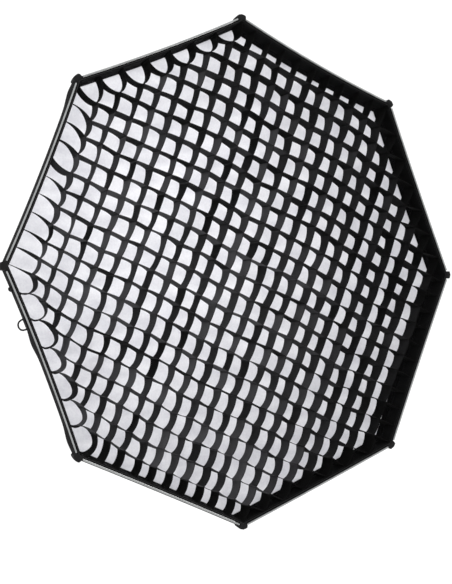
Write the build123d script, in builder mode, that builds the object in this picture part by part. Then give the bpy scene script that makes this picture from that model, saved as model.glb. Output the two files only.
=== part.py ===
from build123d import *
import os
from math import atan, cos, degrees, radians, sin, tan

# Honeycomb grid for an octagonal softbox, seated in the softbox's front rim.
# Millimetres. +Z is up, the light leaves along -Y, +X is to the right seen from the front.
# The octagon stands on a corner. The origin is the middle of the octagon, halfway through its depth.
# "Depth" below is always the distance behind the foremost plane.

# ---------------------------------------------------------------- driving dimensions
corner_radius = 535.0       # centre to the piping's centreline at a corner
side_count = 8
side_bow = 4.0              # how far tension pulls the middle of each side inwards
wall_slope = 0.234          # the lip runs inwards by this much for each unit of depth
overall_depth = 52.0        # foremost plane to the lip's back edge
seam_gap = 0.05             # between layers sewn to each other
peel_gap = 0.3              # between hook tape and loop tape
mitre_gap = 0.1             # between the strips of neighbouring sides, half on each

piping_diameter = 4.0
piping_facets = 16          # the welt is pressed into shallow flats by its stitched cover
piping_depth = 2.0          # depth of the piping's centreline
piping_flange = 1.0         # thickness of the piping's sewn flange
flange_outset = -1.1        # flange's outer face, from the piping's centreline
piping_flange_end = 16.0    # depth at which the flange ends
binding_thickness = 1.6
binding_start, binding_end = 5.3, 19.0

lip_thickness = 1.6
lip_start = 1.0
tape_thickness = 1.2

grid_tape_start, grid_tape_end = 3.0, 30.0
border_thickness = 1.2
border_start, border_end = 1.5, 32.5

diffuser_tape_start, diffuser_tape_end = 35.5, 48.0
hem_thickness = 1.0
hem_start, hem_end = 34.5, 48.5
cloth_thickness = 0.8
cloth_depth = 47.0          # front face of the diffusion cloth

slat_pitch = 40.0
slats_each_side = 11        # slats on each side of the middle one
slat_thickness = 1.0
slat_start, slat_end = 1.5, 31.5
slat_turn = 22.5            # the lattice is turned with the octagon's sides
slot_clearance = 0.3        # on each side of a slat in the slot that holds it
slat_end_clearance = 0.4    # between a slat's end and the border it is sewn to

pocket_base_half_width = 8.5
pocket_outer_half_width = 10.0
pocket_height = 10.5        # how far the pocket stands out from the lip's corner
pocket_length = 28.0
pocket_edge_radius = 2.5
pocket_start = 0.4          # depth of the pocket's foremost edge
rod_hole_radius = 3.0
rod_hole_length = 18.0
rod_hole_height = 5.2       # hole's axis above the pocket's base
pocket_room = 11.0          # piping and binding stop this far from a corner

hang_loop_side = 4          # side between the left corner and the lower left corner
hang_loop_along = -82.0     # along that side, from its middle
hang_loop_depth = 13.0
hang_loop_diameter = 3.5
hang_loop_bend = 10.5       # radius of the loop's bend
hang_loop_leg = 4.0
loop_tab_length, loop_tab_width, loop_tab_thickness = 34.0, 10.0, 1.5
side_tab_along = -155.0
side_tab_length, side_tab_width, side_tab_height = 9.0, 6.0, 5.5

# ---------------------------------------------------------------- derived values
half_turn = 180 / side_count                       # between a side's middle and its corner
corner_share = tan(radians(half_turn))             # half a side's length per unit of apothem
rim_apothem = corner_radius * cos(radians(half_turn))
front_y = -overall_depth / 2
lip_outset = -(piping_diameter / 2 + 2 * seam_gap)
binding_outset = flange_outset + seam_gap + binding_thickness
first_side_angle = half_turn                       # the right corner is at 0 degrees

loop_inset = lip_thickness + seam_gap
hook_inset = loop_inset + tape_thickness + peel_gap
border_inset = hook_inset + tape_thickness + seam_gap
hem_inset = border_inset
grid_space_inset = border_inset + border_thickness + slat_end_clearance
cloth_inset = hem_inset + hem_thickness + seam_gap

os.makedirs("parts", exist_ok=True)


def save(builder, label):
    """Name a finished sub-part and write it to its own file."""
    builder.part.label = label
    export_step(builder.part, f"parts/{label}.step")


# ---------------------------------------------------------------- the octagon's geometry
def lip_apothem(depth):
    """Outer face of the slanted lip, from the octagon's axis to the corner-to-corner line of a side."""
    return rim_apothem + lip_outset - wall_slope * depth


def side_plane(index, depth):
    """Plane across the octagon, x pointing out through the middle of a side and y along that side."""
    turn = radians(first_side_angle + index * 2 * half_turn)
    return Plane(origin=(0, front_y + depth, 0), x_dir=(cos(turn), 0, sin(turn)), z_dir=(0, -1, 0))


def bowed_points(apothem, reach, turn=0.0):
    """Three points of a side's pulled-in line, from -reach to +reach along it, turned about the octagon's axis."""
    full_reach = apothem * corner_share
    end = apothem - side_bow * (1 - (reach / full_reach) ** 2)
    points = [Vector(end, -reach), Vector(apothem - side_bow, 0), Vector(end, reach)]
    return [tuple(point.rotate(Axis.Z, turn)) for point in points]


def side_section(plane, apothem, thickness, corner_room=0.0):
    """Section of one side's strip: pulled in between its corners and mitred at each corner."""
    inner_apothem = apothem - thickness
    with BuildSketch(plane) as section:
        with BuildLine():
            outer_points = bowed_points(apothem, apothem * corner_share - corner_room)
            inner_points = bowed_points(inner_apothem, inner_apothem * corner_share - corner_room)
            outer_edge = ThreePointArc(*outer_points)
            inner_edge = ThreePointArc(*reversed(inner_points))
            Line(outer_edge @ 1, inner_edge @ 0)
            Line(inner_edge @ 1, outer_edge @ 0)
        make_face()
    return section.sketch


def lip_strip(index, inset, thickness, start, end):
    """Strip parallel to the slanted lip, `inset` inside the lip's outer face, between two depths."""
    sections = []
    for depth in (start, end):
        apothem = lip_apothem(depth) - inset
        sections.append(side_section(side_plane(index, depth), apothem, thickness, mitre_gap / 2))
    loft(sections, ruled=True)


def straight_strip(index, outset, thickness, start, end):
    """Strip square to the rim plane that stops short of the corner pockets."""
    section = side_section(side_plane(index, start), rim_apothem + outset, thickness, pocket_room)
    extrude(section, amount=-(end - start))


def octagon_block(inset, start, end):
    """The whole octagon inside the lip, `inset` inside the lip's outer face, between two depths."""
    sections = []
    for depth in (start, end):
        apothem = lip_apothem(depth) - inset
        with BuildSketch(front_plane(depth)) as section:
            with BuildLine():
                for index in range(side_count):
                    turn = first_side_angle + index * 2 * half_turn
                    ThreePointArc(*bowed_points(apothem, apothem * corner_share, turn))
            make_face()
        sections.append(section.sketch)
    loft(sections, ruled=True)


def front_plane(depth):
    """Plane across the octagon at a depth, x to the right and y up."""
    return Plane(origin=(0, front_y + depth, 0), x_dir=(1, 0, 0), z_dir=(0, -1, 0))


# ---------------------------------------------------------------- rim: lip panels, piping, binding
for index in range(side_count):
    with BuildPart() as lip_panel:
        lip_strip(index, 0, lip_thickness, lip_start, overall_depth)
    save(lip_panel, f"lip_panel_{index + 1}")

with BuildPart() as piping:
    for index in range(side_count):
        with BuildLine(side_plane(index, piping_depth)) as piping_line:
            ThreePointArc(*bowed_points(rim_apothem, rim_apothem * corner_share - pocket_room))
        with BuildSketch(Plane(origin=piping_line.line @ 0, z_dir=piping_line.line % 0)):
            RegularPolygon(piping_diameter / 2, piping_facets)
        sweep(path=piping_line.line)
        straight_strip(index, flange_outset, piping_flange, piping_depth, piping_flange_end)
save(piping, "piping")

with BuildPart() as rim_binding:
    for index in range(side_count):
        straight_strip(index, binding_outset, binding_thickness, binding_start, binding_end)
save(rim_binding, "rim_binding")

# ---------------------------------------------------------------- rim: hook-and-loop tapes
with BuildPart() as grid_loop_tape:
    for index in range(side_count):
        lip_strip(index, loop_inset, tape_thickness, grid_tape_start, grid_tape_end)
save(grid_loop_tape, "grid_loop_tape")

with BuildPart() as diffuser_loop_tape:
    for index in range(side_count):
        lip_strip(index, loop_inset, tape_thickness, diffuser_tape_start, diffuser_tape_end)
save(diffuser_loop_tape, "diffuser_loop_tape")

# ---------------------------------------------------------------- rim: rod-tip pockets
# Each pocket lies along the line where two lip panels meet, and its hole takes a rod's tip.
corner_line_slope = wall_slope / cos(radians(half_turn))
corner_tilt = atan(corner_line_slope)
pocket_names = ["right", "upper_right", "top", "upper_left", "left", "lower_left", "bottom", "lower_right"]

for index, pocket_name in enumerate(pocket_names):
    turn = radians(index * 2 * half_turn)
    outward = Vector(cos(turn), 0, sin(turn))
    back_along_rod = Vector(0, 1, 0) * cos(corner_tilt) - outward * sin(corner_tilt)
    height_direction = outward * cos(corner_tilt) + Vector(0, 1, 0) * sin(corner_tilt)
    lip_corner = outward * (lip_apothem(0) / cos(radians(half_turn)) + seam_gap)
    base_shift = pocket_start + pocket_base_half_width * corner_share * tan(corner_tilt)
    base = lip_corner + Vector(0, front_y, 0) + back_along_rod * base_shift
    pocket_plane = Plane(origin=base, x_dir=height_direction, z_dir=back_along_rod)
    hole_plane = Plane(
        origin=base + back_along_rod * pocket_length + height_direction * rod_hole_height,
        x_dir=height_direction,
        z_dir=back_along_rod,
    )
    with BuildPart() as tip_pocket:
        with BuildSketch(pocket_plane):
            with BuildLine():
                base_drop = -pocket_base_half_width * corner_share
                Polyline(
                    (0, 0),
                    (base_drop, pocket_base_half_width),
                    (pocket_height, pocket_outer_half_width),
                    (pocket_height, -pocket_outer_half_width),
                    (base_drop, -pocket_base_half_width),
                    close=True,
                )
            make_face()
        extrude(amount=pocket_length)
        outer_face = tip_pocket.faces().sort_by(Axis(base, height_direction))[-1]
        fillet(outer_face.edges(), radius=pocket_edge_radius)
        with Locations(hole_plane):
            Hole(radius=rod_hole_radius, depth=rod_hole_length)
    save(tip_pocket, f"tip_pocket_{pocket_name}")

# ---------------------------------------------------------------- rim: hanging loop and tabs
tab_plane = side_plane(hang_loop_side, hang_loop_depth)
binding_face = rim_apothem + binding_outset - side_bow


def pulled_in(along):
    """Outer face of the binding at a place along a side."""
    reach = rim_apothem * corner_share
    return binding_face + side_bow * (along / reach) ** 2


loop_foot = pulled_in(hang_loop_along - hang_loop_bend) + loop_tab_thickness + 4 * seam_gap
with BuildPart() as hang_loop:
    with BuildLine(tab_plane) as loop_line:
        near, far = hang_loop_along - hang_loop_bend, hang_loop_along + hang_loop_bend
        leg_top = loop_foot + hang_loop_leg
        Line((loop_foot, near), (leg_top, near))
        ThreePointArc((leg_top, near), (leg_top + hang_loop_bend, hang_loop_along), (leg_top, far))
        Line((leg_top, far), (loop_foot, far))
    with BuildSketch(Plane(origin=loop_line.line @ 0, z_dir=loop_line.line % 0)):
        Circle(hang_loop_diameter / 2)
    sweep(path=loop_line.line)
save(hang_loop, "hang_loop")
print("hanging loop: bend radius", hang_loop_bend, "volume", round(hang_loop.part.volume, 1))

with BuildPart() as hang_loop_tab:
    half_tab = loop_tab_length / 2
    tab_places = [hang_loop_along - half_tab, hang_loop_along, hang_loop_along + half_tab]
    tab_foot = [(pulled_in(place) + seam_gap, place) for place in tab_places]
    tab_top = [(height + loop_tab_thickness, place) for height, place in reversed(tab_foot)]
    with BuildSketch(side_plane(hang_loop_side, hang_loop_depth - loop_tab_width / 2)):
        with BuildLine():
            foot_edge = ThreePointArc(*tab_foot)
            top_edge = ThreePointArc(*tab_top)
            Line(foot_edge @ 1, top_edge @ 0)
            Line(top_edge @ 1, foot_edge @ 0)
        make_face()
    extrude(amount=-loop_tab_width)
save(hang_loop_tab, "hang_loop_tab")

with BuildPart() as side_tab:
    with BuildSketch(side_plane(hang_loop_side, hang_loop_depth - side_tab_width / 2)):
        side_tab_middle = pulled_in(side_tab_along) + 6 * seam_gap + side_tab_height / 2
        with Locations((side_tab_middle, side_tab_along)):
            RectangleRounded(side_tab_height, side_tab_length, radius=side_tab_height / 4)
    extrude(amount=-side_tab_width)
save(side_tab, "side_tab")

# ---------------------------------------------------------------- diffuser
with BuildPart() as diffuser_hem:
    for index in range(side_count):
        lip_strip(index, hem_inset, hem_thickness, hem_start, hem_end)
save(diffuser_hem, "diffuser_hem")

with BuildPart() as diffuser_hook_tape:
    for index in range(side_count):
        lip_strip(index, hook_inset, tape_thickness, diffuser_tape_start, diffuser_tape_end)
save(diffuser_hook_tape, "diffuser_hook_tape")

with BuildPart() as diffuser_cloth:
    octagon_block(cloth_inset, cloth_depth, cloth_depth + cloth_thickness)
save(diffuser_cloth, "diffuser_cloth")

# ---------------------------------------------------------------- grid: border and hook tape
for index in range(side_count):
    with BuildPart() as grid_border:
        lip_strip(index, border_inset, border_thickness, border_start, border_end)
    save(grid_border, f"grid_border_{index + 1}")

with BuildPart() as grid_hook_tape:
    for index in range(side_count):
        lip_strip(index, hook_inset, tape_thickness, grid_tape_start, grid_tape_end)
save(grid_hook_tape, "grid_hook_tape")

# ---------------------------------------------------------------- grid: interlocking slats
# Steep slats are slotted from the back and shallow slats from the front, so they lock together.
with BuildPart() as grid_space:
    octagon_block(grid_space_inset, slat_start, slat_end)

slat_height = slat_end - slat_start
slot_width = slat_thickness + 2 * slot_clearance
slot_height = slat_height / 2 + slot_clearance
steep = Vector(sin(radians(slat_turn)), 0, cos(radians(slat_turn)))
shallow = Vector(cos(radians(slat_turn)), 0, -sin(radians(slat_turn)))
mid_slat = Vector(0, front_y + (slat_start + slat_end) / 2, 0)


def slat(plane, slot_side):
    """One slat on its plane, x along the slat and y towards the front, with a slot at each crossing."""
    with BuildSketch(plane) as section:
        Rectangle(2 * corner_radius, slat_height)
        with Locations((0, slot_side * (slat_height - slot_height) / 2)):
            with GridLocations(slat_pitch, 0, 2 * slats_each_side + 1, 1):
                Rectangle(slot_width, slot_height, mode=Mode.SUBTRACT)
    extrude(section.sketch, amount=slat_thickness / 2, both=True)


families = [
    ("steep", steep, shallow, shallow, -1),
    ("shallow", shallow, steep, steep * -1, 1),
]
for family, direction, spacing, facing, slot_side in families:
    for rank in range(slats_each_side + 1):
        places = [0.0] if rank == 0 else [rank * slat_pitch, -rank * slat_pitch]
        with BuildPart() as slat_pair:
            for place in places:
                slat(Plane(origin=mid_slat + spacing * place, x_dir=direction, z_dir=facing), slot_side)
            add(grid_space.part, mode=Mode.INTERSECT)
        save(slat_pair, f"slat_{family}_{rank:02d}")
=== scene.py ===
from math import atan, cos, pi, radians, sin, tan

import bpy
import numpy as np
from mathutils import Matrix, Vector


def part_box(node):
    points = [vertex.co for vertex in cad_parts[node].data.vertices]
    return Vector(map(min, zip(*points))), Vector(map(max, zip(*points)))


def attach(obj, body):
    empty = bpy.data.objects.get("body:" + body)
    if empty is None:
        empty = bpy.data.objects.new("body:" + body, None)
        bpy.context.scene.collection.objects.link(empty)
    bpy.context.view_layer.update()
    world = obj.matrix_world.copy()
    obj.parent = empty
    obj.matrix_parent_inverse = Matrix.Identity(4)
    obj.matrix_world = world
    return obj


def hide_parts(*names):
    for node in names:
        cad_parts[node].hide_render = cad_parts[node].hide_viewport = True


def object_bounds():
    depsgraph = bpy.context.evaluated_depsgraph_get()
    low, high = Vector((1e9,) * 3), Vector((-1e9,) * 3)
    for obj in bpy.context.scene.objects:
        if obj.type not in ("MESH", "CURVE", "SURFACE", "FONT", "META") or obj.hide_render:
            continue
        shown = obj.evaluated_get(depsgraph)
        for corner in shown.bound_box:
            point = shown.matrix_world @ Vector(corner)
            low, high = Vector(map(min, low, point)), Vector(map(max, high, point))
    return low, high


# The looks of a fabric honeycomb grid in the front rim of an octagonal softbox.
# Metres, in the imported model's own frame: +Z is up and the light leaves along -Y.
# "Depth" is the distance behind the foremost plane, and a "share" runs from -1 to 1 along a side.
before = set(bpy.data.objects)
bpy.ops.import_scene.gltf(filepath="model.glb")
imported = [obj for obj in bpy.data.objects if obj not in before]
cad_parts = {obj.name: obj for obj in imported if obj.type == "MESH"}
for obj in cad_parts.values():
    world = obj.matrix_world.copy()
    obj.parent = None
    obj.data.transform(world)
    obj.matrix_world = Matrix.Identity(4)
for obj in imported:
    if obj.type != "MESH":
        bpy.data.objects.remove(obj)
cad_low, cad_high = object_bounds()

# ---------------------------------------------------------------- driving values
corner_radius = 0.535
side_count = 8
half_turn = pi / side_count
wall_slope = 0.234
# Sides are numbered anticlockwise from the one above the right corner.
top_left_side, upper_left_side, lower_left_side, bottom_sides = 2, 3, 4, (5, 6)
side_pulls = [0.002, 0.007, 0.0045, 0.0047, 0.005, 0.001, -0.001, 0.001]   # inwards, at each side's middle
slat_pitch = 0.040
slat_turn = radians(22.5)      # how far the steep slats turn from upright
slats_each_side = 11
widest_crossing = 16           # crossings further out along the diagonals lie on the border itself
# Slant of the shallow slats' left ends, and how much it grows towards the top.
left_end_lean, left_end_lean_rise = 0.26, 0.18
drooping_ranks = (1, 5)        # the two shallow slats whose left ends sag into full view
piping_room, binding_room = 0.0115, 0.0078     # how far from a corner the piping and the binding stop
piping_radius = 0.0016
hang_loop_side, hang_loop_along = lower_left_side, -0.082      # along is from the side's middle
hang_loop_bend, hang_loop_leg, cord_radius = 0.0105, 0.004, 0.00175
side_tab_along = -0.155        # on the loop's side too
crease_angle = radians(48)     # edges bent further than this show as creases
# Shares along a side where its binding stands out.
binding_puffs = {upper_left_side: (-0.84,), lower_left_side: (-0.19, 0.82)}

rim_apothem = corner_radius * cos(half_turn)
corner_share = tan(half_turn)
half_side = rim_apothem * corner_share
steep = np.array([sin(slat_turn), 0, cos(slat_turn)])
shallow = np.array([cos(slat_turn), 0, -sin(slat_turn)])
backwards = np.array([0.0, 1.0, 0.0])
draw = np.random.RandomState(7)


def depth_range(node):
    """Depths of a CAD node's front and back edges."""
    low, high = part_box(node)
    return low.y - cad_low.y, high.y - cad_low.y


def front_apothem(node):
    """Apothem of an eight-sided CAD strip's outer face, carried forward along the wall to depth 0."""
    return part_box(node)[1].x * cos(half_turn) + wall_slope * depth_range(node)[0]


lip_apothem = front_apothem("lip_panel_1")
border_inset = lip_apothem - front_apothem("grid_border_1")
border_thickness = 0.0008
grid_inset = border_inset + border_thickness


# ---------------------------------------------------------------- shapes shared by many pieces
def smooth(value):
    """0 below 0, 1 above 1, and an even ease between."""
    value = np.clip(value, 0, 1)
    return value * value * (3 - 2 * value)


def side_axes(side):
    """Directions out through a side's middle and along the side."""
    angle = half_turn + side * 2 * half_turn
    return np.array([cos(angle), 0, sin(angle)]), np.array([-sin(angle), 0, cos(angle)])


def on_side(side, share, apothem, depth):
    """Points of a side's pulled-in line at an apothem and depth; share, apothem and depth may be arrays."""
    outward, along = side_axes(side)
    share, apothem, depth = np.broadcast_arrays(share, apothem, depth)
    pulled = apothem - side_pulls[side] * (1 - share ** 2)
    reach = share * apothem * corner_share
    return pulled[..., None] * outward + reach[..., None] * along + (depth + cad_low.y)[..., None] * backwards


def on_wall(side, share, inset, depth):
    """Points of the slanted wall, `inset` inside the lip's outer face."""
    return on_side(side, share, lip_apothem - wall_slope * np.asarray(depth) - inset, depth)


def square_to(points):
    """Unit direction square to a grid of points, at each of them."""
    square = np.cross(np.gradient(points, axis=1), np.gradient(points, axis=0))
    return square / (np.linalg.norm(square, axis=2, keepdims=True) + 1e-12)


def travelled_along(path):
    """Distance from a path's start to each of its points."""
    return np.concatenate([[0], np.cumsum(np.linalg.norm(np.diff(path, axis=0), axis=1))])


def running_length(points, axis):
    """Mean distance travelled along an axis of a grid of points."""
    steps = np.linalg.norm(np.diff(points, axis=axis), axis=2).mean(axis=1 - axis)
    return np.concatenate([[0], np.cumsum(steps)])


def cloth(points, thickness, tone=0.0):
    """Closed strip of cloth around a grid of points; thickness and tone may change from point to point."""
    rows, columns = points.shape[:2]
    lift = square_to(points) * np.broadcast_to(thickness, (rows, columns))[..., None] / 2
    vertices = np.concatenate([(points + lift).reshape(-1, 3), (points - lift).reshape(-1, 3)])
    top = np.arange(rows * columns).reshape(rows, columns)
    bottom = top + rows * columns

    def quads(a, b, c, d):
        return np.stack([a.ravel(), b.ravel(), c.ravel(), d.ravel()], axis=1)

    faces = np.concatenate([
        quads(top[:-1, :-1], top[:-1, 1:], top[1:, 1:], top[1:, :-1]),
        quads(bottom[:-1, :-1], bottom[1:, :-1], bottom[1:, 1:], bottom[:-1, 1:]),
        quads(bottom[0, :-1], bottom[0, 1:], top[0, 1:], top[0, :-1]),
        quads(top[-1, :-1], top[-1, 1:], bottom[-1, 1:], bottom[-1, :-1]),
        quads(top[:-1, 0], top[1:, 0], bottom[1:, 0], bottom[:-1, 0]),
        quads(bottom[:-1, -1], bottom[1:, -1], top[1:, -1], top[:-1, -1]),
    ])
    across, down = np.meshgrid(running_length(points, 1), running_length(points, 0))
    places = np.stack([across.ravel(), down.ravel()], axis=1)
    tones = np.broadcast_to(tone, (rows, columns)).ravel()
    return vertices, faces, np.concatenate([places, places]), np.concatenate([tones, tones])


def ring_walls(count, around):
    """Corner numbers of some rings of points, and the quads between each ring and the next."""
    index = np.arange(count * around).reshape(count, around)
    after = np.roll(index, -1, axis=1)
    return index, np.stack([index[:-1], index[1:], after[1:], after[:-1]], axis=2).reshape(-1, 4)


def tube(path, radius, facets=14):
    """Closed tube along a path that never runs straight backwards; radius may change along it."""
    count = len(path)
    radius = np.broadcast_to(radius, count)
    ahead = np.gradient(path, axis=0)
    ahead /= np.linalg.norm(ahead, axis=1, keepdims=True)
    aside = np.cross(ahead, backwards)
    aside /= np.linalg.norm(aside, axis=1, keepdims=True)
    above = np.cross(aside, ahead)
    angles = np.arange(facets) * 2 * pi / facets
    ring = np.cos(angles)[None, :, None] * aside[:, None] + np.sin(angles)[None, :, None] * above[:, None]
    points = path[:, None] + ring * radius[:, None, None]
    index, walls = ring_walls(count, facets)
    faces = [list(wall) for wall in walls] + [list(index[0]), list(index[-1][::-1])]
    places = np.broadcast_arrays(travelled_along(path)[:, None], (angles * radius.mean())[None, :])
    return points.reshape(-1, 3), faces, np.stack(places, axis=2).reshape(-1, 2), np.zeros(count * facets)


def stitches(path, outward, pitch=0.004, length=0.0028, width=0.0006):
    """Short threads lying along a path, on the surface that faces outward."""
    travelled = travelled_along(path)
    middles = np.arange(pitch, travelled[-1] - pitch, pitch)

    def sampled(values, places):
        return np.stack([np.interp(places, travelled, values[:, axis]) for axis in range(3)], axis=1)

    start, end = sampled(path, middles - length / 2), sampled(path, middles + length / 2)
    ahead = (end - start) / length
    out = sampled(outward, middles)
    aside = np.cross(ahead, out)
    rings = []
    for share, size, lift in ((0, 0.35, -0.2), (0.2, 1, 0.35), (0.8, 1, 0.35), (1, 0.35, -0.2)):
        centre = start + ahead * length * share + out * width * lift
        corners = [centre + (aside * x + out * y) * width / 2 * size
                   for x, y in ((1, 0), (0, 1), (-1, 0), (0, -1))]
        rings.append(np.stack(corners, axis=1))
    points = np.stack(rings, axis=1)
    index = np.arange(points[..., 0].size).reshape(points.shape[:3])
    after = np.roll(index, -1, axis=2)
    walls = np.stack([index[:, :-1], after[:, :-1], after[:, 1:], index[:, 1:]], axis=3).reshape(-1, 4)
    faces = np.concatenate([walls, index[:, 0, ::-1], index[:, -1]])
    return points.reshape(-1, 3), faces, np.zeros((index.size, 2)), np.zeros(index.size)


def piece(name, parts, material, body, slot, *replaced):
    """One object made of parts, each a (vertices, faces, places, tones), riding a body."""
    vertices, faces, places, tones, before = [], [], [], [], 0
    for part_vertices, part_faces, part_places, part_tones in parts:
        faces += [[int(corner) + before for corner in face] for face in part_faces]
        vertices.append(part_vertices)
        places.append(part_places)
        tones.append(part_tones)
        before += len(part_vertices)
    mesh = bpy.data.meshes.new(name)
    mesh.from_pydata(np.concatenate(vertices).tolist(), [], faces)
    corners = np.zeros(len(mesh.loops), np.int32)
    mesh.loops.foreach_get("vertex_index", corners)
    mesh.uv_layers.new(name="cloth").data.foreach_set("uv", np.concatenate(places)[corners].ravel())
    # The tone attribute carries the slats' painted sheen, light and shade; other pieces leave it at nought.
    mesh.attributes.new("tone", "FLOAT", "POINT").data.foreach_set("value", np.concatenate(tones))
    mesh.shade_smooth()
    mesh.set_sharp_from_angle(angle=crease_angle)
    mesh.materials.append(material)
    made = bpy.data.objects.new(name, mesh)
    bpy.context.scene.collection.objects.link(made)
    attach(made, body)
    if replaced:
        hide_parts(*replaced)
    return made


# ---------------------------------------------------------------- materials
def shade(tree, kind, inputs, **settings):
    """Add a shader node, set or link its inputs, and return its first output."""
    made = tree.nodes.new("ShaderNode" + kind)
    for name, value in settings.items():
        setattr(made, name, value)
    for key, value in inputs.items():
        if isinstance(value, bpy.types.NodeSocket):
            tree.links.new(value, made.inputs[key])
        else:
            made.inputs[key].default_value = value
    return made.outputs[0]


def calculate(tree, operation, *values):
    """Result of a sum on numbers or sockets."""
    return shade(tree, "Math", dict(enumerate(values)), operation=operation)


def weighted(tree, first, first_share, second, second_share):
    """The sum of two values, each times its share."""
    rest = calculate(tree, "MULTIPLY", second, second_share)
    return calculate(tree, "MULTIPLY_ADD", first, first_share, rest)


def thread_waves(tree, across, along):
    """Sine waves across the cloth's width and length, one wave for each pair of threads."""
    place = shade(tree, "UVMap", {}, uv_map="cloth")
    split = tree.nodes.new("ShaderNodeSeparateXYZ")
    tree.links.new(place, split.inputs[0])
    waves = []
    for output, spacing in ((split.outputs[0], along), (split.outputs[1], across)):
        waves.append(calculate(tree, "SINE", calculate(tree, "MULTIPLY", output, 2 * pi / spacing)))
    return waves


def plain_weave(tree, thread):
    """Height of a plain weave from 0 to 1."""
    across, along = thread_waves(tree, thread, thread)
    return calculate(tree, "MULTIPLY_ADD", calculate(tree, "MULTIPLY", across, along), 0.5, 0.5)


def ribs(tree, spacing):
    """Height of ribs that run across a tape, from 0 to 1."""
    lengthwise = thread_waves(tree, spacing, spacing)[0]
    return calculate(tree, "MULTIPLY_ADD", lengthwise, 0.5, 0.5)


def mottle(tree, size, detail=3.0, stretch=(1, 1, 1)):
    """Soft patches of about that size, from 0 to 1, fixed to the object."""
    coordinates = tree.nodes.new("ShaderNodeTexCoord").outputs["Object"]
    mapped = shade(tree, "Mapping", {"Vector": coordinates, "Scale": stretch})
    return shade(tree, "TexNoise", {"Vector": mapped, "Scale": 1 / size, "Detail": detail})


def fabric(name, dark, light, factor, height, bump, roughness=0.85, sheen=0.03, specular=0.1):
    """A cloth coloured from dark to light by factor(tree), with threads that stand up by height(tree)."""
    material = bpy.data.materials.new(name)
    material.use_nodes = True
    tree = material.node_tree
    shader = tree.nodes["Principled BSDF"]
    amount = factor(tree)
    mix = tree.nodes.new("ShaderNodeMix")
    mix.data_type = "RGBA"
    mix.inputs["A"].default_value = (*dark, 1)
    mix.inputs["B"].default_value = (*light, 1)
    tree.links.new(amount, mix.inputs["Factor"])
    colour = [output for output in mix.outputs if output.type == "RGBA"][0]
    tree.links.new(colour, shader.inputs["Base Color"])
    normal = shade(tree, "Bump", {"Height": height(tree), "Distance": bump, "Strength": 0.8})
    tree.links.new(normal, shader.inputs["Normal"])
    shader.inputs["Roughness"].default_value = roughness
    shader.inputs["Sheen Weight"].default_value = sheen
    shader.inputs["Sheen Roughness"].default_value = 0.5
    shader.inputs["Specular IOR Level"].default_value = specular
    return material


def worn_weave(name, dark, light, thread, patch, shares, bump, stretch=(1, 1, 1), **finish):
    """A plain weave, paler in soft patches; shares are what the patches and the threads count for."""
    def factor(tree):
        patches = mottle(tree, patch, stretch=stretch)
        return weighted(tree, patches, shares[0], plain_weave(tree, thread), shares[1])
    return fabric(name, dark, light, factor, lambda tree: plain_weave(tree, thread), bump, **finish)


def slat_nylon():
    """Thin black nylon, paler with its tone: each length between two crossings gets a painted sheen of its
    own, with painted light and painted shade, and patches of wear.
    """
    def factor(tree):
        tone = tree.nodes.new("ShaderNodeAttribute")
        tone.attribute_name = "tone"
        # Patches of wear, made fainter where the tone's painted shade is deep.
        wear_in_painted_light = calculate(tree, "MULTIPLY", mottle(tree, 0.012), calculate(tree, "SQRT", tone.outputs["Fac"]))
        contrast = calculate(tree, "POWER", tone.outputs["Fac"], 1.5)
        return calculate(tree, "MULTIPLY_ADD", wear_in_painted_light, 0.28, contrast)
    return fabric("slat_nylon", (0.0015, 0.0015, 0.0014), (0.085, 0.084, 0.089), factor,
                  lambda tree: plain_weave(tree, 0.0009), 0.00012, sheen=0.01, specular=0.05)


def lip_nylon():
    """Heavier black oxford cloth, faintly paler in soft streaks."""
    return worn_weave("lip_nylon", (0.0015, 0.0015, 0.0015), (0.009, 0.009, 0.0095), thread=0.0012,
                      patch=0.03, shares=(0.6, 0.25), bump=0.0002, stretch=(1, 0.4, 1), sheen=0.01,
                      specular=0.04)


def ribbed_tape():
    """Grosgrain binding: close ribs across the tape."""
    rib = 0.0016

    def factor(tree):
        return weighted(tree, ribs(tree, rib), 0.35, mottle(tree, 0.02), 0.4)
    return fabric("ribbed_tape", (0.004, 0.004, 0.004), (0.026, 0.026, 0.027), factor,
                  lambda tree: ribs(tree, rib), 0.0003)


def webbing():
    """Thick woven webbing, rubbed paler in patches."""
    return worn_weave("webbing", (0.004, 0.004, 0.004), (0.022, 0.022, 0.023), thread=0.002, patch=0.006,
                      shares=(0.5, 0.3), bump=0.0004)


def loop_pile():
    """The soft half of hook-and-loop: a matted pile."""
    return fabric("loop_pile", (0.003, 0.003, 0.003), (0.03, 0.03, 0.031),
                  lambda tree: mottle(tree, 0.0012, 5.0), lambda tree: mottle(tree, 0.0009, 5.0), 0.0006,
                  roughness=0.95, sheen=0.2)


def hook_pile():
    """The stiff half of hook-and-loop: rows of little hooks."""
    def hooks(tree):
        across, along = thread_waves(tree, 0.0016, 0.0012)
        return calculate(tree, "MAXIMUM", calculate(tree, "MULTIPLY", across, along), 0.0)
    return fabric("hook_pile", (0.004, 0.004, 0.004), (0.03, 0.03, 0.03), hooks, hooks, 0.0006,
                  roughness=0.5, sheen=0.0, specular=0.4)


def braid():
    """Braided cord: strands crossing on the slant."""
    def strands(tree):
        across, along = thread_waves(tree, 0.0028, 0.0024)
        return calculate(tree, "MULTIPLY_ADD", calculate(tree, "MULTIPLY", across, along), 0.5, 0.5)
    return fabric("braid", (0.004, 0.004, 0.004), (0.03, 0.03, 0.032), strands, strands, 0.0006)


def piping_cloth():
    """Grey woven cover, a little grubby in patches."""
    return worn_weave("piping_cloth", (0.18, 0.185, 0.185), (0.47, 0.48, 0.48), thread=0.0011, patch=0.018,
                      shares=(0.7, 0.25), bump=0.0002, roughness=0.6, specular=0.4)


def sewing_thread():
    """Dull black thread."""
    return fabric("sewing_thread", (0.006, 0.006, 0.006), (0.03, 0.03, 0.032),
                  lambda tree: mottle(tree, 0.004), lambda tree: mottle(tree, 0.0005), 0.0001, roughness=0.5)


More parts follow.
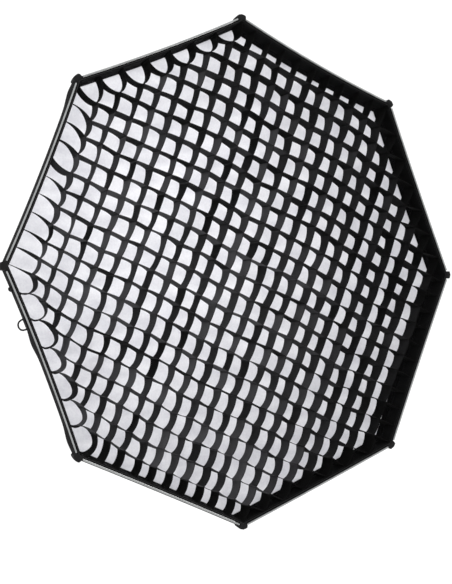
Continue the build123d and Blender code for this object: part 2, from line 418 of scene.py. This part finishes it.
def diffusion_cloth():
    """White translucent cloth, faintly violet, with soft clouds of painted fold shade, little slubs and a
    fine weave.
    """
    thread, translucent_share = 0.0014, 0.84

    def contrasted(tree, value, gain, shift):
        return shade(tree, "Clamp", {"Value": calculate(tree, "MULTIPLY_ADD", value, gain, shift)})

    def factor(tree):
        # Soft clouds of painted shade stand in for the shading of broad folds.
        painted_fold_shade = contrasted(tree, mottle(tree, 0.035, stretch=(0.6, 1, 1.5)), 3.0, -1.05)
        slubs = contrasted(tree, mottle(tree, 0.004, 1.0), 4.0, -1.5)
        woven = weighted(tree, slubs, 0.3, plain_weave(tree, thread), 0.2)
        return calculate(tree, "MULTIPLY_ADD", painted_fold_shade, 0.6, woven)
    material = fabric("diffusion_cloth", (0.645, 0.645, 0.668), (0.78, 0.78, 0.794), factor,
                      lambda tree: plain_weave(tree, thread), 0.0002, roughness=0.9, sheen=0.0, specular=0.1)
    tree = material.node_tree
    shader = tree.nodes["Principled BSDF"]
    tint = [link.from_socket for link in tree.links if link.to_socket == shader.inputs["Base Color"]][0]
    through = shade(tree, "BsdfTranslucent", {"Color": tint})
    mixed = shade(tree, "MixShader", {0: translucent_share, 1: shader.outputs[0], 2: through})
    tree.links.new(mixed, tree.nodes["Material Output"].inputs["Surface"])
    return material


# ---------------------------------------------------------------- rim
hem_row = 0.0015               # spacing of the rows that shape a strip's hems


def wall_strip(side, node, thickness, pucker=0.0, hem=0.0):
    """One side's strip of cloth in the place of a CAD strip, with a puckered face and thicker hems."""
    start, end = depth_range(node)
    inset = lip_apothem - front_apothem(node) + thickness / 2
    width = end - start
    edge = hem_row / width
    down_shares = np.array([0, edge, 2 * edge, 3 * edge, 0.3, 0.5, 0.7,
                            1 - 3 * edge, 1 - 2 * edge, 1 - edge, 1])
    share, down = np.meshgrid(np.linspace(-1, 1, 121), down_shares)
    waves = np.sin(share * 31 + side * 2.1 + 2.2 * down) * np.sin(pi * down) * pucker
    points = on_wall(side, share, inset + waves, start + down * width)
    thick = thickness + hem * ((down < 2.5 * edge) | (down > 1 - 2.5 * edge))
    return cloth(points, thick)


def lip_panels(material):
    """The black wall inside the rim, one panel for each side."""
    for side in range(side_count):
        part = wall_strip(side, "lip_panel_1", thickness=0.0014, pucker=0.0004, hem=0.0002)
        lip = piece(f"woven_lip_{side + 1}", [part], material, "rim", "lip_fabric",
                    f"lip_panel_{side + 1}")


def tape_rings(material_loop, material_hook):
    """The four hook-and-loop tapes, each eight lengths."""
    for node, body, material, slot in (
        ("grid_loop_tape", "rim", material_loop, "loop_tape"),
        ("diffuser_loop_tape", "rim", material_loop, "loop_tape"),
        ("grid_hook_tape", "grid", material_hook, "hook_tape"),
        ("diffuser_hook_tape", "diffuser", material_hook, "hook_tape"),
    ):
        parts = [wall_strip(side, node, thickness=0.0011) for side in range(side_count)]
        tape = piece(f"napped_{node}", parts, material, body, slot, node)


def side_span(room):
    """Shares along a side of the rim that stop some room short of its corners."""
    limit = 1 - room / half_side
    return np.linspace(-limit, limit, 181)


def piping(material):
    """Eight lengths of covered cord, puckered where the cover is sewn, each with its flange."""
    flange_depth, flange_thickness = 0.012, 0.0008
    share = side_span(piping_room)
    parts = []
    for side in range(side_count):
        path = on_side(side, share, rim_apothem, piping_radius)
        gathers = np.sin(share * 190 + side)
        pucker = 1 + 0.05 * gathers * np.sin(share * 43 + 2 * side) + 0.03 * np.sin(share * 17)
        parts.append(tube(path, piping_radius * pucker))
        down = np.linspace(piping_radius, flange_depth, 7)
        outset = -0.0014 + 0.0003 * gathers[None, :]
        flange = on_side(side, share[None, :], rim_apothem + outset, down[:, None])
        parts.append(cloth(flange, flange_thickness))
    piece("piping_welt", parts, material, "rim", "piping", "piping")


def binding(material):
    """Grosgrain tape sewn over the piping's flange, standing off towards its back edge."""
    thickness, puff_height, puff_reach = 0.0014, 0.0034, 0.11
    start, end = 0.0034, depth_range("rim_binding")[1] + 0.001
    share, down = np.meshgrid(side_span(binding_room), np.linspace(0, 1, 11))
    parts = []
    for side in range(side_count):
        ripple = 0.0004 * np.sin(share * 60 + side) * np.sin(pi * down)
        puff = sum(puff_height * np.exp(-((share - place) / puff_reach) ** 2)
                   for place in binding_puffs.get(side, ()))
        outset = -0.0010 + (0.0014 + puff) * smooth(down) + ripple
        points = on_side(side, share, rim_apothem + outset, start + down * (end - start))
        parts.append(cloth(points, thickness))
    tape = piece("binding_tape", parts, material, "rim", "binding", "rim_binding")


# ---------------------------------------------------------------- rod pockets
pocket_length, pocket_height = 0.025, 0.0092
pocket_base_half, pocket_outer_half = 0.0076, 0.0086
pocket_gap, pocket_roundness = 0.0004, 0.45    # room in front of it, and 1 for a round outline
pocket_seams = (0.16, 0.84)                    # shares of its length where it is sewn down
# Shares of its length where its outline is drawn, closest at its ends and seams.
pocket_stations = np.array([0, 0.012, 0.04, 0.08, 0.13, 0.16, 0.19, 0.26, 0.4, 0.55, 0.7,
                            0.8, 0.84, 0.88, 0.95, 0.985, 1])
pocket_turn = np.linspace(0, 2 * pi, 49)[:-1]
rod_hole_radius, rod_hole_length, rod_hole_height = 0.003, 0.018, 0.0052
pocket_names = ["right", "upper_right", "top", "upper_left", "left", "lower_left", "bottom", "lower_right"]


def pocket_outlines(base, aside, back, up):
    """Closed outlines of a pocket from front to back, drawn in at its ends and seams."""
    wide = np.sign(np.cos(pocket_turn)) * np.abs(np.cos(pocket_turn)) ** pocket_roundness
    high = 0.5 + 0.5 * np.sign(np.sin(pocket_turn)) * np.abs(np.sin(pocket_turn)) ** pocket_roundness
    drop = -np.abs(wide) * pocket_base_half * corner_share * (1 - high)
    shares = pocket_stations
    sizes = 1 - 0.14 * np.exp(-shares * 45) - 0.05 * np.exp(-(1 - shares) * 60)
    grooves = sum(np.exp(-((shares - seam) / 0.02) ** 2) for seam in pocket_seams)
    swells = 0.0016 * np.sin(pi * shares) ** 0.5 - 0.0011 * grooves
    outlines = []
    for share, size, swell in zip(shares, sizes - 0.02 * grooves, swells):
        half_width = (pocket_base_half + (pocket_outer_half - pocket_base_half) * high) * size
        crown = swell * high * (1 - wide ** 2)
        height = pocket_height * (0.5 + (high - 0.5) * (1 - 0.35 * (1 - size))) + drop + crown
        outlines.append(base + back * pocket_length * share + aside * (half_width * wide)[:, None]
                        + up * height[:, None])
    return outlines


def pocket(corner, name, material):
    """A sewn webbing pocket on a corner of the rim, with a blind hole for a rod's tip."""
    angle = corner * 2 * half_turn
    tilt = atan(wall_slope / cos(half_turn))
    outward = np.array([cos(angle), 0, sin(angle)])
    aside = np.array([-sin(angle), 0, cos(angle)])
    back = backwards * cos(tilt) - outward * sin(tilt)
    up = outward * cos(tilt) + backwards * sin(tilt)
    base = outward * (lip_apothem / cos(half_turn)) + backwards * cad_low.y
    base = base + back * (pocket_gap + pocket_base_half * corner_share * tan(tilt))

    outlines = pocket_outlines(base, aside, back, up)
    front_middle = outlines[0].mean(axis=0) - back * 0.0009
    hole = base + up * rod_hole_height + back * pocket_length
    ring = aside * np.cos(pocket_turn)[:, None] + up * np.sin(pocket_turn)[:, None]
    inner = [hole + ring * radius - back * sunk for radius, sunk in (
        (rod_hole_radius * 1.5, -0.0006), (rod_hole_radius * 1.2, -0.0009), (rod_hole_radius, 0),
        (rod_hole_radius, rod_hole_length / 2), (rod_hole_radius, rod_hole_length))]
    loops = [outlines[0] * 0.45 + front_middle * 0.55] + outlines + inner
    vertices = np.concatenate([*loops, [front_middle], [hole - back * rod_hole_length]])

    index, walls = ring_walls(len(loops), len(pocket_turn))
    faces = [list(wall) for wall in walls[:, [0, 3, 2, 1]]]
    faces += [[index.size, b, a] for a, b in zip(index[0], np.roll(index[0], -1))]
    faces += [[index.size + 1, a, b] for a, b in zip(index[-1], np.roll(index[-1], -1))]
    depths = np.concatenate([[0], pocket_stations, 1 + np.arange(len(inner)) * 0.1]) * pocket_length
    places = np.stack([np.repeat(depths, len(pocket_turn)), np.tile(pocket_turn * 0.012, len(loops))], axis=1)
    places = np.concatenate([places, np.zeros((2, 2))])
    parts = [(vertices, faces, places, np.zeros(len(vertices))), corner_wrap(outward, aside)]
    piece(f"sewn_pocket_{name}", parts, material, "rim", "pocket_fabric", f"tip_pocket_{name}")


def corner_wrap(outward, aside):
    """Webbing folded over the rim's front edge at a corner, from the pocket to inside the lip."""
    half_width, thickness = 0.0078, 0.0014
    corner = rim_apothem / cos(half_turn)
    # Each point is how far out it is from the rim's corner, and its depth.
    route = np.array([(0.0075, 0.0040), (0.0062, 0.0010), (0.0040, -0.0003), (0.0005, -0.0007),
                      (-0.0025, -0.0003), (-0.0038, 0.0006), (-0.0041, 0.002)])
    width = np.linspace(-half_width, half_width, 15)
    radial = corner + route[:, 0][:, None] - np.abs(width)[None, :] * corner_share
    rounding = 0.0008 * np.exp(-(width / 0.004) ** 2)[None, :]
    width, depth = np.broadcast_arrays(width, cad_low.y + route[:, 1][:, None])
    points = (radial - rounding)[..., None] * outward + depth[..., None] * backwards
    points = points + width[..., None] * aside
    return cloth(points, thickness)


# ---------------------------------------------------------------- hanging loop and tabs
def loop_route():
    """Points of the hanging loop's cord, each by its height above the foot and its place along the side."""
    outward, along = side_axes(hang_loop_side)
    low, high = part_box("hang_loop")
    middle = np.array([0, (low.y + high.y) / 2, 0])
    binding_outset, side_bow, webbing_room = 0.00055, 0.004, 0.0017
    bend, leg = hang_loop_bend, hang_loop_leg
    foot_share = (hang_loop_along - bend) / half_side
    foot = rim_apothem + binding_outset - side_bow * (1 - foot_share ** 2) + webbing_room
    tangent = bend * tan(radians(22.5))
    points = [(0, -bend), (leg + tangent, -bend), (leg + bend, -tangent), (leg + bend, tangent),
              (leg + tangent, bend), (0, bend)]
    return [middle + outward * (foot + height) + along * (hang_loop_along + place)
            for height, place in points]


def hanging_loop(material):
    """The loop of braided cord, from one foot to the other."""
    route = loop_route()
    curve = bpy.data.curves.new("hanging_cord", "CURVE")
    curve.dimensions = "3D"
    spline = curve.splines.new("NURBS")
    spline.points.add(len(route) - 1)
    for point, place in zip(spline.points, route):
        point.co = (*place, 1)
    spline.order_u = 3
    spline.use_endpoint_u = True
    spline.resolution_u = 12
    curve.bevel_depth = cord_radius
    curve.bevel_resolution = 4
    curve.use_fill_caps = True
    curve.materials.append(material)
    made = bpy.data.objects.new("hanging_cord", curve)
    bpy.context.scene.collection.objects.link(made)
    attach(made, "rim")
    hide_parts("hang_loop")


def loop_webbing(material):
    """Webbing sewn over the loop's two feet."""
    half_length, thickness = 0.017, 0.0014
    along = np.linspace(hang_loop_along - half_length, hang_loop_along + half_length, 25)
    share, down = np.meshgrid(along / half_side, np.linspace(0.008, 0.018, 7))
    bulge = 0.0022 * np.exp(-((share * half_side - hang_loop_along) / hang_loop_bend) ** 8)
    points = on_side(hang_loop_side, share, rim_apothem + 0.0012 + 0.35 * bulge, down)
    holder = piece("loop_webbing", [cloth(points, thickness)], material, "rim", "tab_fabric", "hang_loop_tab")


def folded_tab(material):
    """A small tab folded double, on the same side as the loop."""
    half_length, height, thickness = 0.0042, 0.0036, 0.0018
    turn, down = np.meshgrid(np.linspace(-0.15 * pi, 1.15 * pi, 19), np.linspace(0.010, 0.016, 5))
    share = (side_tab_along + half_length * np.cos(turn)) / half_side
    outset = 0.0013 + height * (0.3 + np.sin(turn)).clip(0)
    points = on_side(hang_loop_side, share, rim_apothem + outset, down)
    piece("folded_tab", [cloth(points, thickness)], material, "rim", "tab_fabric", "side_tab")


# ---------------------------------------------------------------- diffuser
def diffuser_hem(material):
    """The black band round the diffuser's edge."""
    parts = [wall_strip(side, "diffuser_hem", thickness=0.001) for side in range(side_count)]
    hem = piece("turned_hem", parts, material, "diffuser", "hem_fabric", "diffuser_hem")


def diffuser_sheet(material):
    """One sheet of white cloth held by its edge, slack enough for soft folds."""
    thickness, fold_height, ripple_height, belly_depth = 0.0006, 0.0020, 0.0011, 0.004
    low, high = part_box("diffuser_cloth")
    apothem = high.x * cos(half_turn)
    samples, rings = 40, 64
    share = np.linspace(-1, 1, samples + 1)[:-1]
    edge = np.concatenate([on_side(side, share, apothem, 0.0) for side in range(side_count)])
    edge = np.concatenate([edge, edge[:1]])
    spread = np.linspace(0.0005, 1, rings) ** 0.8
    points = edge[None, :, :] * spread[:, None, None]
    points[..., 1] = (low.y + high.y) / 2
    x, z = points[..., 0], points[..., 2]
    slack = np.sin(pi * np.clip((1 - spread) / 0.45, 0, 1))[:, None]
    angle = np.arctan2(z, x)
    radial = np.sin(angle * 46 + 1.6 * np.sin(angle * 7) + 4 * spread[:, None])
    crossing = np.sin(x * 41 + z * 23 + 1.5 * np.sin(z * 17)) * np.sin(z * 58 - x * 12)
    left = smooth((0.1 - x) / 0.5)
    folds = fold_height * slack * radial * (0.35 + left)
    ripples = ripple_height * crossing * (1 - spread[:, None] ** 6)
    belly = belly_depth * (1 - spread[:, None] ** 2)
    points[..., 1] += folds + ripples + belly
    sheet = piece("diffusion_sheet", [cloth(points, thickness)], material, "diffuser", "diffusion_cloth",
                  "diffuser_cloth")


# ---------------------------------------------------------------- grid border
def grid_borders(material):
    """The strips round the lattice that its slats are sewn to."""
    for side in range(side_count):
        part = wall_strip(side, "grid_border_1", border_thickness, pucker=0.0003, hem=0.0003)
        border = piece(f"woven_border_{side + 1}", [part], material, "grid", "border_fabric",
                       f"grid_border_{side + 1}")


# ---------------------------------------------------------------- the lattice of slats
# Lattice coordinates: (u, w), u along the shallow slats and w along the steep slats, in metres.
slat_front, slat_back = depth_range("slat_steep_00")
slat_thickness, slat_hem = 0.0007, 0.0004      # the cloth's, and what its turned edges add
# Rows of points from a slat's front edge to its back edge, as shares of its width.
rows = np.array([0, 0.035, 0.07, 0.11, 0.25, 0.4, 0.55, 0.7, 0.85, 0.93, 0.965, 1])
hem_rows = (rows < 0.08) | (rows > 0.95)
steps = 10                     # columns of points in each length between two crossings
border_room = 0.0015           # between the border and the crossings next to it
end_straightening = 0.6        # how much of a left end's droop on the upper left side is taken back
# Mean tones of the two families, painted light on each, and the painted shade that the tones of end lengths
# are multiplied by, dark in the recess by the border.
steep_tone, shallow_tone, painted_end_shade, painted_left_end_shade = 0.46, 0.34, 0.04, 0.35
# Scatter of each slat's and each length's tone: a painted sheen that changes at random.
slat_tone_scatter, length_tone_scatter = 0.14, 0.18
front_scatter, back_scatter, cup_scatter = 0.0012, 0.0011, 0.0008
hook_diagonal = -widest_crossing - 1           # its crossings hang on the border, and slats leave them level
node_count = 2 * slats_each_side + 5
middle_node = node_count // 2
ranks = np.arange(node_count) - middle_node
node_u, node_w = np.meshgrid(ranks * slat_pitch, ranks * slat_pitch, indexing="ij")
# Towards the right, neighbouring slats are pulled opposite ways.
to_right = smooth((node_u / slat_pitch - 5) / 3)
other_way = np.where(ranks % 2 == 0, -1.0, 1.0)[:, None] * to_right


def hung(across, up):
    """How the slack lattice hangs away from its even grid, in metres; across and up are in corner radii."""
    aside = 0.0085 - 0.0015 * across - 0.003 * across ** 2
    aside += 0.0065 * up - 0.010 * up ** 2 - 0.016 * up ** 3 + 0.012 * across * up
    droop = (0.016 + 0.042 * up) * across ** 2
    rise = 0.007 * up - 0.003 * up ** 2 - 0.005 * across + 0.005 * across * up + 0.009 * across ** 3 - droop
    rise += 0.0022 * np.cos(2 * pi * (across * corner_radius / slat_pitch + 4.5) / 7.9)
    lower_left = smooth((-1.0 - across - up) / 0.25)
    aside += 0.002 * lower_left + 0.004 * smooth((-1.2 - across - up) / 0.06)
    rise += 0.008 * lower_left
    return np.stack([aside, rise], axis=-1)


def lattice_nodes():
    """Front and back places of every crossing: drooping, unevenly sewn, and leaning a little."""
    across, up = node_u / corner_radius, node_w / corner_radius
    sag = 0.006 * smooth(1.2 - np.hypot(across, up))
    front = np.stack([node_u - sag * shallow[2], node_w - sag * steep[2]], axis=2)
    front += hung(across, up) * smooth((1.22 - np.hypot(across, up)) / 0.3)[..., None]
    front += draw.normal(0, front_scatter, front.shape)
    front[..., 0] += 0.0003 * other_way
    front[middle_node + slats_each_side, :, 0] += 0.002
    front[..., 1] += 0.0020 * other_way
    lean_aside = -0.0028 - 0.0025 * across + 0.003 * smooth((-0.6 - across) / 0.2)
    lean = np.stack([lean_aside, -0.0012 - 0.0018 * up], axis=2)
    back = front + lean + draw.normal(0, back_scatter, front.shape)
    return front, back


front_nodes, back_nodes = lattice_nodes()


def outside(u, w, depth):
    """How far a lattice place is beyond the border's inner face at a depth; negative inside."""
    x = u * shallow[0] + w * steep[0]
    z = u * shallow[2] + w * steep[2]
    apothem = lip_apothem - wall_slope * depth - grid_inset
    beyond = []
    for side in range(side_count):
        outward, along = side_axes(side)
        share = (x * along[0] + z * along[2]) / (apothem * corner_share)
        pull = side_pulls[side] * (1 - np.clip(share, -1, 1) ** 2)
        beyond.append(x * outward[0] + z * outward[2] - (apothem - pull))
    return np.stack(beyond).max(axis=0), np.stack(beyond).argmax(axis=0)


def steep_bulges(i, j, side):
    """How far steep slat i bulges to the right after crossing j, in front and at the back.

    side is the wall that this length meets, or None.
    """
    low_down = 0.002 * float(smooth((-j - 3) / 4))
    front, back = 0.0015 + low_down, 0.0040 + low_down
    right = float(smooth((i - 5) / 3)) * (-1 if i % 2 == 0 else 1)
    front += 0.0002 * right
    back += 0.0002 * right
    if i == -slats_each_side:
        front, back = 0.0065, 0.0060
    if side == top_left_side:
        front, back = 0.0115, 0.0145
    elif side == lower_left_side:
        front, back = 0.0, 0.0
    elif i + j == hook_diagonal:
        front, back = 0.0120, 0.0165
    elif side in bottom_sides:
        front, back = front + 0.001, back - 0.002
    return front + draw.normal(0, 0.0006), back + draw.normal(0, 0.0009)


def shallow_bulges(j, i, side):
    """How far shallow slat j bulges upwards after crossing i, in front and at the back; side is as above."""
    low_down = 0.003 * float(smooth((-j - 4) / 4))
    front, back = 0.0005 - low_down, 0.0025 - low_down
    right = float(smooth((i - 4) / 3))
    back += (0.0035 if i % 2 == 0 else -0.0035) * right
    if side == upper_left_side:
        front, back = 0.001, 0.0
        if j in drooping_ranks:
            front, back = -0.0055, -0.0045
    elif side == top_left_side:
        front, back = -0.0080, -0.0035
    elif i + j == hook_diagonal:
        front, back = 0.003, 0.006
    return front + draw.normal(0, 0.0005), back + draw.normal(0, 0.0008)


def border_end(start, depths, step):
    """Where each row of a slat meets the border, going from start along step, found by halving."""
    near, far = np.full(len(depths), -0.06), np.full(len(depths), 0.12)
    for _ in range(24):
        middle = (near + far) / 2
        tried = start + step * middle[:, None]
        gone = np.array([outside(*place, depth)[0] for place, depth in zip(tried, depths)])
        near = np.where(gone < 0, middle, near)
        far = np.where(gone < 0, far, middle)
    return start + step * near[:, None]


def slat_end(crossings, index, rank, direction, depths, run):
    """End of a slat past its last crossing: straight on, or where the crossing after it meets the border."""
    if ranks[index] + rank == hook_diagonal:
        level = np.array([-shallow[0], -steep[0]])
        return border_end(crossings[:, index], depths, level)
    beyond = index + direction
    if abs(ranks[beyond]) > slats_each_side:
        step = np.zeros(2)
        step[run] = direction
        return border_end(crossings[:, index], depths, step)
    outward = side_axes(int(outside(*crossings[0, beyond], depths[0])[1]))[0]
    return border_end(crossings[:, beyond], depths, np.array([outward @ shallow, outward @ steep]))


def pushed_inside(places, depths):
    """Places moved back inside the border where the slanted wall would cut them off."""
    moved = places.copy()
    for row, depth in enumerate(depths):
        gap, side = outside(places[row, 0], places[row, 1], depth)
        outward = side_axes(int(side))[0]
        too_far = max(0.0, float(gap) + border_room)
        moved[row] -= np.array([outward @ shallow, outward @ steep]) * too_far
    return moved


def painted_slat_light(u, w):
    """Painted light and shade on the nylon at a lattice place in corner radii: palest on the left, darkest
    top right.
    """
    aside = u * shallow[0] + w * steep[0]
    above = u * shallow[2] + w * steep[2]
    level = 1.6 - 1.2 * smooth((aside + 0.2) / 0.9)
    return level * (1 - 0.4 * smooth((above - 0.35) / 0.4)) * (1 - 0.15 * smooth((-0.35 - above) / 0.4))


def slat_stations(is_steep, rank, depths):
    """Places of a slat's rows at its ends and crossings, its first crossing, and the walls it meets."""
    line = (middle_node + rank, slice(None)) if is_steep else (slice(None), middle_node + rank)
    front, back = front_nodes[line], back_nodes[line]
    crossings = front[None] * (1 - rows[:, None, None]) + back[None] * rows[:, None, None]
    within = (ranks + rank >= hook_diagonal) & (ranks + rank <= widest_crossing)
    within &= np.abs(ranks - rank) <= widest_crossing
    crossed = np.where((np.abs(ranks) <= slats_each_side) & within)[0]
    places = [pushed_inside(crossings[:, index], depths) for index in crossed]
    run = 1 if is_steep else 0
    ends = [slat_end(crossings, index, rank, direction, depths, run)
            for index, direction in ((crossed[0], -1), (crossed[-1], 1))]
    end_sides = [int(outside(*end[0], depths[0])[1]) for end in ends]
    return [ends[0]] + places + [ends[1]], ranks[crossed[0]], end_sides


def turned_edge_on(start, rank, side):
    """Move a shallow slat's left end so that its cloth is seen edge-on, and say whether it is.

    All slats on the two left sides end so but the drooping ones.
    """
    if side == upper_left_side:
        start[:, 1] += end_straightening * (rank * slat_pitch - start[0, 1])
    edge_on_end = side in (upper_left_side, lower_left_side) and rank not in drooping_ranks
    if edge_on_end:
        lean = left_end_lean + left_end_lean_rise * start[0, 1] / corner_radius
        start[:, 1] += rows * (slat_back - slat_front) * lean
    return edge_on_end


def slat_length(start, end, cross, swell, ease_power):
    """Columns of points from one station to the next, swelling to one side on the way."""
    shrink = min(1.0, np.abs(end - start).max() / slat_pitch)
    columns = []
    for step in range(steps):
        share = step / steps
        ease = share ** ease_power
        place = start * (1 - share) + end * share
        place[:, cross] = start[:, cross] * (1 - ease) + end[:, cross] * ease
        place[:, cross] += swell * (np.sin(pi * share) ** 0.75 * shrink)
        columns.append(place)
    return columns


def slat(family, rank):
    """Grid of points of one slat from border to border, and the tone of each: painted sheen, light and shade.
    """
    is_steep = family == "steep"
    depths = slat_front + rows * (slat_back - slat_front)
    stations, first_rank, end_sides = slat_stations(is_steep, rank, depths)
    edge_on_end = False if is_steep else turned_edge_on(stations[0], rank, end_sides[0])
    last = len(stations) - 2
    sides = [end_sides[0]] + [None] * (last - 1) + [end_sides[1]]
    bulges = steep_bulges if is_steep else shallow_bulges
    # Each slat's tone is a painted sheen drawn about its family's mean; shallow slats get painted shade that
    # grows towards the top.
    slat_tone = draw.normal(steep_tone if is_steep else shallow_tone - 0.02 * rank, slat_tone_scatter)
    columns, tones = [], []
    for number, (start, end, side) in enumerate(zip(stations[:-1], stations[1:], sides)):
        bulge_front, bulge_back = bulges(rank, first_rank - 1 + number, side)
        cup = draw.normal(0, cup_scatter)
        # Painted light and shade for where this length starts.
        light = painted_slat_light(*(start[0] / corner_radius))
        # Each length draws its own random painted sheen about the slat's.
        tone = np.clip(draw.normal(slat_tone, length_tone_scatter), 0.03, 1.0) * light
        # End lengths by the border take painted shade.
        if side is not None:
            tone *= painted_left_end_shade if side in (upper_left_side, lower_left_side) else painted_end_shade
        swell = bulge_front * (1 - rows) + bulge_back * rows + cup * 4 * rows * (1 - rows)
        ease_power = 2.2 if edge_on_end and number == 0 else 1
        columns += slat_length(start, end, 0 if is_steep else 1, swell, ease_power)
        tones += [tone] * steps
    grid = np.stack(columns + [stations[-1]], axis=1)
    points = grid[..., 0:1] * shallow + grid[..., 1:2] * steep
    points += (depths + cad_low.y)[:, None, None] * backwards
    return points, np.where(hem_rows, 0.5, 1.0)[:, None] * np.array(tones + tones[-1:])[None, :]


def slats(material):
    """The two families of slats, each piece a pair of strips at the same distance from the middle."""
    thickness = slat_thickness + slat_hem * hem_rows[:, None]
    for family in ("steep", "shallow"):
        for rank in range(slats_each_side + 1):
            parts, length = [], 0
            for signed in ([0] if rank == 0 else [rank, -rank]):
                points, tones = slat(family, signed)
                length += running_length(points, 1)[-1]
                parts.append(cloth(points, thickness, tones))
            made = piece(f"nylon_{family}_{rank:02d}", parts, material, "grid", "slat_fabric",
                         f"slat_{family}_{rank:02d}")


# ---------------------------------------------------------------- sewing
def seam_lines(material):
    """Thread along the seams that show, one piece for each body."""
    binding_seams, lip_seam, border_seams, hem_seam = (0.0075, 0.0170), 0.0505, (0.0045, 0.0295), 0.0365
    short, whole = np.linspace(-0.92, 0.92, 161), np.linspace(-0.99, 0.99, 161)
    hem_inset = lip_apothem - front_apothem("diffuser_hem")
    rim, grid, diffuser = [], [], []
    for side in range(side_count):
        out = np.broadcast_to(side_axes(side)[0], (161, 3))
        for depth in binding_seams:
            rim.append(stitches(on_side(side, short, rim_apothem + 0.0005, depth), out))
        rim.append(stitches(on_wall(side, whole, -0.0002, lip_seam), out))
        for depth in border_seams:
            grid.append(stitches(on_wall(side, whole, grid_inset + 0.0003, depth), -out))
        diffuser.append(stitches(on_wall(side, whole, hem_inset + 0.0012, hem_seam), -out))
    piece("rim_thread", rim, material, "rim", "lip_fabric")
    piece("grid_thread", grid, material, "grid", "border_fabric")
    piece("diffuser_thread", diffuser, material, "diffuser", "hem_fabric")


# ---------------------------------------------------------------- camera, light and floor
def make_camera():
    """Camera in front of the grid, to its left and a little below its middle."""
    turn, rise, roll = radians(-29.4), radians(-1.6), radians(0.17)
    distance, right_of, above = [corner_radius * share for share in (6.476, -0.0667, -0.0836)]
    back = Vector((sin(turn) * cos(rise), -cos(turn) * cos(rise), sin(rise)))
    level = Vector((cos(turn), sin(turn), 0))
    upright = back.cross(level)
    right = level * cos(roll) - upright * sin(roll)
    up = level * sin(roll) + upright * cos(roll)
    data = bpy.data.cameras.new("camera")
    data.lens = 101.7
    camera = bpy.data.objects.new("camera", data)
    axes = Matrix((right, up, back)).transposed().to_4x4()
    place = back * distance + right * right_of + up * above + Vector((0, cad_low.y + piping_radius, 0))
    camera.matrix_world = Matrix.Translation(place) @ axes
    bpy.context.scene.collection.objects.link(camera)
    bpy.context.scene.camera = camera


def area_light(name, place, size, power, aim=(0, 0, 0)):
    """A square light at a place, turned to its aim."""
    data = bpy.data.lights.new(name, "AREA")
    data.size = size
    data.energy = power
    light = bpy.data.objects.new(name, data)
    light.location = place
    light.rotation_mode = "QUATERNION"
    light.rotation_quaternion = (Vector(aim) - Vector(place)).to_track_quat("-Z", "Y")
    bpy.context.scene.collection.objects.link(light)


def make_studio():
    """White surroundings, a soft light in front, one behind the diffuser, and a round floor far below."""
    scene = bpy.context.scene
    scene.view_settings.view_transform = "Standard"
    world = bpy.data.worlds.new("studio")
    world.use_nodes = True
    background = world.node_tree.nodes["Background"]
    background.inputs["Color"].default_value = (1, 1, 1, 1)
    background.inputs["Strength"].default_value = 1.1
    scene.world = world
    area_light("front_light", (-1.6, -3.2, 1.4), size=2.2, power=22)
    area_light("light_inside", (-0.18, 0.72, 0.12), size=0.45, power=6.5, aim=(-0.18, 0, 0.12))
    make_floor()


def make_floor():
    """A pale round sheet of paper far below the hung grid."""
    floor_radius, floor_level, thickness, around = 2.6, -1.6, 0.02, 96
    turn = np.arange(around) * 2 * pi / around
    circle = np.stack([np.cos(turn), np.sin(turn), np.zeros(around)], axis=1)
    rings = [circle * radius + np.array([0, 0, floor_level + drop]) for radius, drop in (
        (0.02, 0), (floor_radius * 0.5, 0), (floor_radius, 0), (floor_radius, -thickness))]
    index, walls = ring_walls(len(rings), around)
    mesh = bpy.data.meshes.new("studio_floor")
    mesh.from_pydata(np.concatenate(rings).tolist(), [], walls.tolist() + [index[0].tolist()])
    paper = fabric("floor_paper", (0.80, 0.80, 0.80), (0.86, 0.86, 0.86), lambda tree: mottle(tree, 0.4),
                   lambda tree: mottle(tree, 0.003), 0.0002)
    mesh.materials.append(paper)
    floor = bpy.data.objects.new("studio_floor", mesh)
    bpy.context.scene.collection.objects.link(floor)


make_camera()
hanging_loop(braid())
tape = webbing()
oxford = lip_nylon()
thread = sewing_thread()
lip_panels(oxford)
piping(piping_cloth())
binding(ribbed_tape())
tape_rings(loop_pile(), hook_pile())
for corner, name in enumerate(pocket_names):
    pocket(corner, name, tape)
loop_webbing(tape)
folded_tab(tape)
diffuser_hem(oxford)
diffuser_sheet(diffusion_cloth())
grid_borders(oxford)
slats(slat_nylon())
seam_lines(thread)
make_studio()
